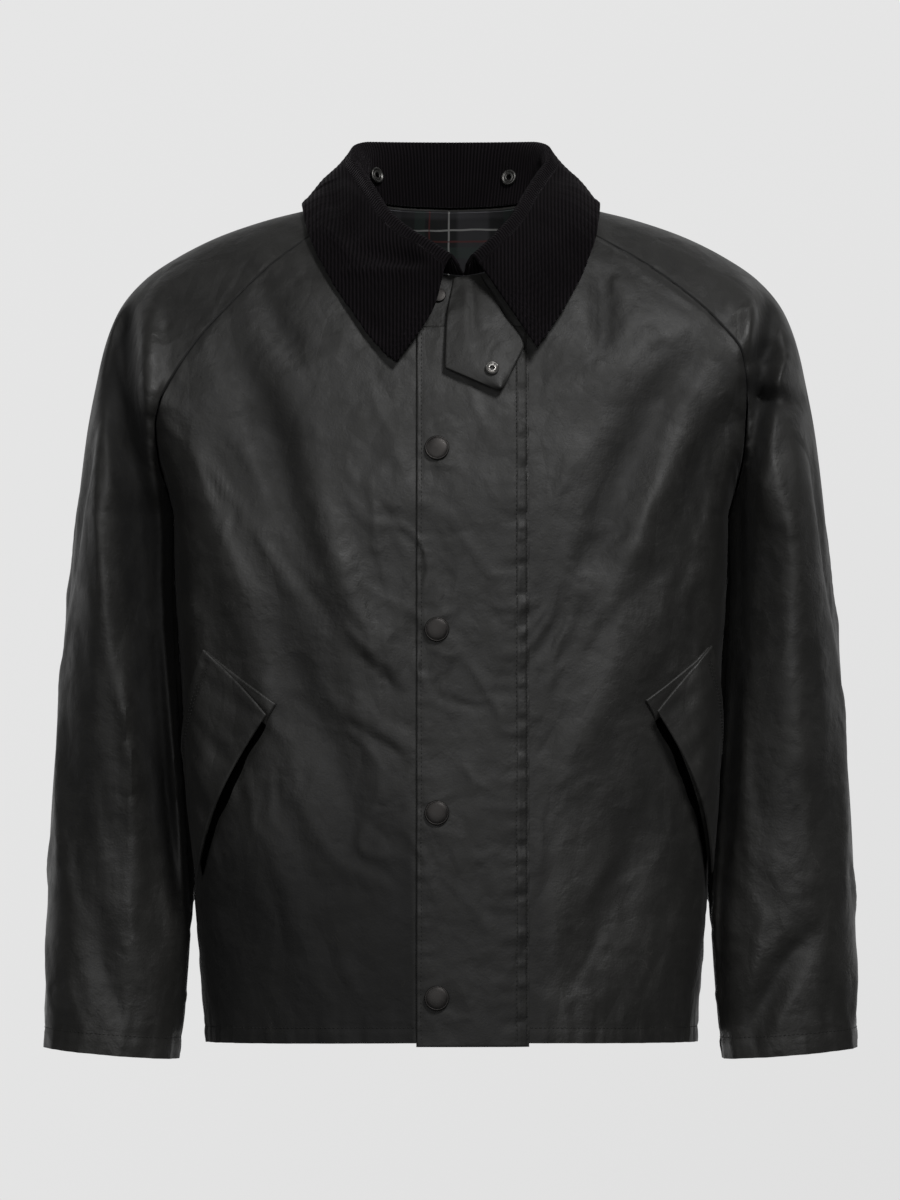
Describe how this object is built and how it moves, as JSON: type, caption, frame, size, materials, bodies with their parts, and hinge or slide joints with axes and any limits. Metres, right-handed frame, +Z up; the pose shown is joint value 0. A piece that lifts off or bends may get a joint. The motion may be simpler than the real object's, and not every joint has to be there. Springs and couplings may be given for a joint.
{
  "type": "waxed cotton jacket",
  "caption": "Short hip-length raglan jacket in waxed cotton, filled out as if worn, with corduroy collar, studded fly front, throat tab and slanted pocket flaps.",
  "frame": {"origin": "inside of the neck seam at the nape, in the middle of the back, where the wearer holds the jacket up", "axes": "+Z up, -Y towards the front of the jacket, +X towards the wearer's left"},
  "size_m": [0.649, 0.2939, 0.7362],
  "materials": {
    "wax": "waxed cotton, charcoal with a slight olive cast, soft oily sheen",
    "corduroy": "fine corduroy, near black, matt",
    "lining": "checked cotton, matt",
    "cap": "dark antique metal, satin",
    "ring": "nickel-plated, worn"
  },
  "bodies": {
    "root": {"front_right": "wax", "front_left": "wax", "back": "wax", "sleeve_right": "wax", "sleeve_left": "wax", "fly": "wax", "throat_tab": "wax", "pocket_welt_right": "wax", "pocket_welt_left": "wax", "pocket_flap_right": "wax", "pocket_flap_left": "wax", "collar": "corduroy", "back_lining": "lining", "fly_stud_1": "cap", "fly_stud_2": "cap", "fly_stud_3": "cap", "fly_stud_4": "cap", "neck_stud": "cap", "tab_stud": "ring", "hood_stud_right": "ring", "hood_stud_left": "ring"}
  },
  "joints": []
}
